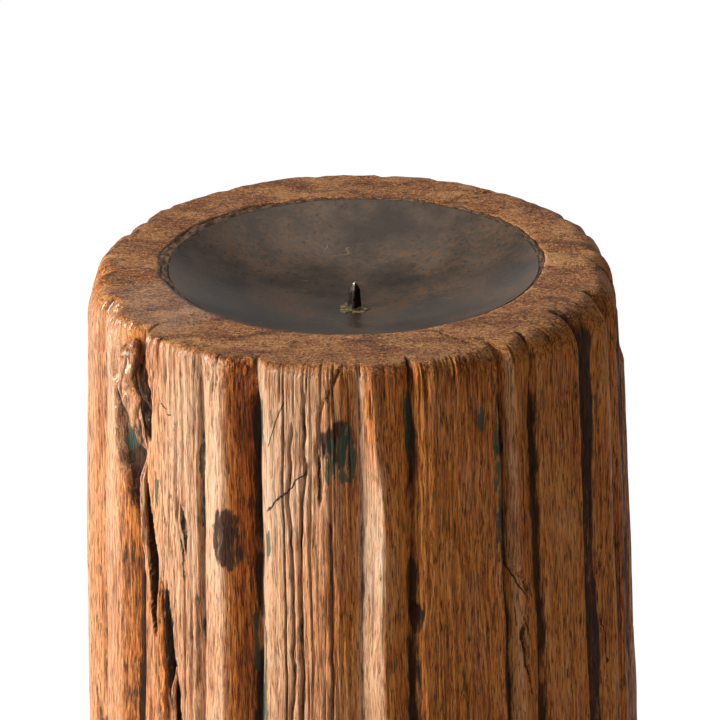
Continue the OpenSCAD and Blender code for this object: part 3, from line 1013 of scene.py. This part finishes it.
def build_spike(material):
    """The forged spike: five rough flats that taper to a blunt tip, over a round tang."""
    cols = 40
    theta = np.linspace(0, 2 * np.pi, cols, endpoint=False)
    tall = TIP_Z - FLOOR_Z
    z = np.concatenate([[TANG_Z, TANG_Z + 1, FLOOR_Z - 2], FLOOR_Z + tall * np.linspace(0, 1, 22)])
    rise = np.clip((z - FLOOR_Z) / tall, 0, 1)
    r = SPIKE_R * (1 - 0.42 * rise ** 1.4 - 0.36 * fade(0.72, 1.0, rise))
    r[0] *= 0.8
    flats = 1 + 0.09 * np.cos(5 * theta)[None, :] * fade(0.0, 0.2, rise)[:, None]
    rough = 1 + 0.05 * round_noise(np.degrees(theta)[None, :], z[:, None], 10, 1.6, 211, 2)
    rough = np.where(z[:, None] > FLOOR_Z, rough, 1)
    lean = 0.25 * rise[:, None]
    radius = r[:, None] * flats * rough
    grid = np.stack([
        DISH_X + radius * np.sin(theta) + lean, DISH_Y - radius * np.cos(theta),
        np.repeat(z[:, None], cols, 1),
    ], -1)
    points = skin(grid, (DISH_X, DISH_Y, TANG_Z), (DISH_X + 0.25, DISH_Y, TIP_Z + 0.1))
    return make_piece("forged_spike", points, closed_grid_faces(len(z), cols), material,
                      "spike")


def build_braze(material):
    """The braze: a low ring that runs unevenly out over the dish's floor."""
    cols = 96
    theta = np.linspace(0, 2 * np.pi, cols, endpoint=False)
    angle = np.degrees(theta)
    reach = BRAZE_R * (0.84 + 0.22 * round_noise(angle, 0 * angle, 7, 1, 221, 3))
    section = [(0.30, -0.4), (0.99, -0.25), (1.0, 0.05), (0.86, 0.32), (0.68, 0.34), (0.52, 0.45),
               (0.40, 0.85), (0.31, 1.05), (0.25, 0.9)]
    rings = np.array([
        [DISH_X + reach * a * np.sin(theta), DISH_Y - reach * a * np.cos(theta),
         FLOOR_Z + b + 0.1 * lattice_noise(angle / 14, a * 8 + 0 * angle, 231, 64)]
        for a, b in section
    ])
    grid = rings.transpose(0, 2, 1)
    points = skin(grid, (DISH_X, DISH_Y, FLOOR_Z - 0.4), (DISH_X, DISH_Y, FLOOR_Z + 0.8))
    return make_piece("braze_run", points, closed_grid_faces(len(section), cols), material,
                      "braze_ring")


# ------------------------------------------------------------------ the putty
def putty_material():
    """Dry grey-brown filler, crumbled and dirty."""
    material, tree, shader = new_material("dry_putty")
    place = put(tree, "ShaderNodeTexCoord").outputs["Object"]
    patina = use(tree, PATINA, {"Position": place})
    colour = tones(tree, patina["Speckle"], [
        (0.34, (0.040, 0.022, 0.012)), (0.50, (0.17, 0.090, 0.045)), (0.66, (0.34, 0.19, 0.10)),
    ])
    colour = blend(tree, level(tree, patina["Clouds"], 0.4, 0.6, 0, 0.6), colour, (0.10, 0.055, 0.03))
    feed(tree, shader, Base_Color=colour, Roughness=0.75, Normal=bumped(tree, patina["Speckle"], 0.0009))
    return material


def build_putty(material):
    """The filler between rim and wood: a lumpy ring that fills the joint."""
    cols = 720
    theta = np.linspace(-np.pi, np.pi, cols, endpoint=False)
    angle = np.degrees(theta)
    outer = joint_edge(angle) + 0.8
    inner = np.full(cols, RIM_R - 0.1)
    across = np.linspace(0, 1, 9)
    lumps = 0.45 * round_noise(angle[None, :], across[:, None] * 6, 150, 1, 241, 2)
    crest = np.sin(np.pi * across)[:, None]
    loose = through([(-180, 1), (-80, 1), (-50, 0.2), (60, 0.15), (90, 0.7), (180, 1)], angle)
    top_z = RIM_Z - 0.25 + (0.25 * crest + lumps) * loose
    top_r = outer[None, :] + (inner - outer)[None, :] * across[:, None]
    low_z = RIM_Z - PUTTY_DEPTH
    r = np.concatenate([[inner], [outer], top_r, [inner]])
    z = np.concatenate([np.full((2, cols), low_z), top_z, [np.full(cols, low_z)]])[:-1]
    r = r[:-1]
    grid = np.stack([DISH_X + r * np.sin(theta), DISH_Y - r * np.cos(theta), z], -1)
    rows = len(r)
    i, j = np.meshgrid(np.arange(rows), np.arange(cols), indexing="ij")
    k, n = (j + 1) % cols, (i + 1) % rows
    faces = np.stack([i * cols + j, i * cols + k, n * cols + k, n * cols + j], -1)
    faces = faces.reshape(-1, 4).tolist()
    return make_piece("crumbled_putty", grid.reshape(-1, 3), faces, material, "bedding_putty")


# ------------------------------------------------------- floor, light, camera
FLOOR_HALF = 6.0


def build_floor():
    """A pale floor, which looks white to the camera."""
    material, tree, shader = new_material("pale_floor")
    feed(tree, shader, Base_Color=(0.92, 0.92, 0.92, 1), Roughness=0.9)
    out = next(n for n in tree.nodes if n.type == "OUTPUT_MATERIAL")
    glow = put(tree, "ShaderNodeEmission", {"Color": (1, 1, 1, 1), "Strength": 1.1})
    seen = put(tree, "ShaderNodeLightPath").outputs["Is Camera Ray"]
    lit = put(tree, "ShaderNodeMixShader", {0: calc(tree, "MULTIPLY", seen, 0.85)})
    tree.links.new(shader.outputs[0], lit.inputs[1])
    tree.links.new(glow.outputs[0], lit.inputs[2])
    tree.links.new(lit.outputs[0], out.inputs["Surface"])
    mesh = bpy.data.meshes.new("pale_floor")
    h = FLOOR_HALF
    mesh.from_pydata([(-h, -h, 0), (h, -h, 0), (h, h, 0), (-h, h, 0)], [], [(0, 1, 2, 3)])
    mesh.materials.append(material)
    floor = bpy.data.objects.new("pale_floor", mesh)
    bpy.context.scene.collection.objects.link(floor)


def soft_box(name, place, aim, width, height, power, colour=(1, 1, 1)):
    """A rectangular studio light at place that faces aim."""
    data = bpy.data.lights.new(name, "AREA")
    data.shape = "RECTANGLE"
    data.size, data.size_y = width, height
    data.energy = power
    data.color = colour
    lamp = bpy.data.objects.new(name, data)
    lamp.location = place
    lamp.rotation_mode = "QUATERNION"
    lamp.rotation_quaternion = (Vector(aim) - Vector(place)).to_track_quat("-Z", "Y")
    bpy.context.scene.collection.objects.link(lamp)


def build_light():
    """A strong soft key at the left, a weak fill at the right, and a dim white room."""
    top = (0, 0, HEIGHT * MM * 0.8)
    soft_box("key", (-1.87, -0.46, 0.77), top, 0.8, 1.0, 74, (1.0, 0.98, 0.95))
    soft_box("overhead", (0.0, 0.6, 1.8), top, 1.6, 1.2, 8.5)
    soft_box("fill", (1.3, -1.3, 0.55), top, 0.7, 1.0, 2.2)
    world = bpy.data.worlds.new("white_room")
    world.use_nodes = True
    tree = world.node_tree
    way = put(tree, "ShaderNodeSeparateXYZ", {0: put(tree, "ShaderNodeTexCoord").outputs["Generated"]})
    behind = level(tree, way.outputs["Y"], 0.2, 0.9)
    low = calc(tree, "SUBTRACT", 1.0, level(tree, way.outputs["Z"], 0.25, 0.6))
    glow = calc(tree, "MULTIPLY", calc(tree, "MULTIPLY", behind, low), 0.5)
    back = tree.nodes["Background"]
    back.inputs["Color"].default_value = (1, 1, 1, 1)
    tree.links.new(calc(tree, "ADD", glow, 0.038), back.inputs["Strength"])
    bpy.context.scene.world = world


# The view: how far and how high the camera stands from the middle of the dish
VIEW_DISTANCE = 1.6
VIEW_ELEVATION = math.radians(21.5)
VIEW_LENS = 266.7
VIEW_DROP = math.radians(1.025)
VIEW_SIDE = math.radians(0.05)
VIEW_ROLL = math.radians(-0.9)


def build_camera():
    """The camera, in front of the dish and above it, aimed a little below it."""
    data = bpy.data.cameras.new("camera")
    data.lens = VIEW_LENS
    data.sensor_width = 36
    data.clip_end = 50
    camera = bpy.data.objects.new("camera", data)
    centre = Vector((DISH_X, DISH_Y, RIM_Z)) * MM
    back = Vector((0, -math.cos(VIEW_ELEVATION), math.sin(VIEW_ELEVATION)))
    down = VIEW_ELEVATION + VIEW_DROP
    aim = Vector((math.sin(VIEW_SIDE), math.cos(VIEW_SIDE) * math.cos(down), -math.sin(down)))
    turn = aim.to_track_quat("-Z", "Y").to_matrix().to_4x4() @ Matrix.Rotation(VIEW_ROLL, 4, "Z")
    camera.matrix_world = Matrix.Translation(centre + back * VIEW_DISTANCE) @ turn
    bpy.context.scene.collection.objects.link(camera)
    bpy.context.scene.camera = camera


bpy.context.scene.view_settings.view_transform = "Standard"
build_camera()
build_light()
build_floor()
old_wood = wood_material()
build_column(old_wood)
build_splinters(old_wood)
build_dish(dish_material())
build_spike(iron_material())
build_braze(braze_material())
build_putty(putty_material())
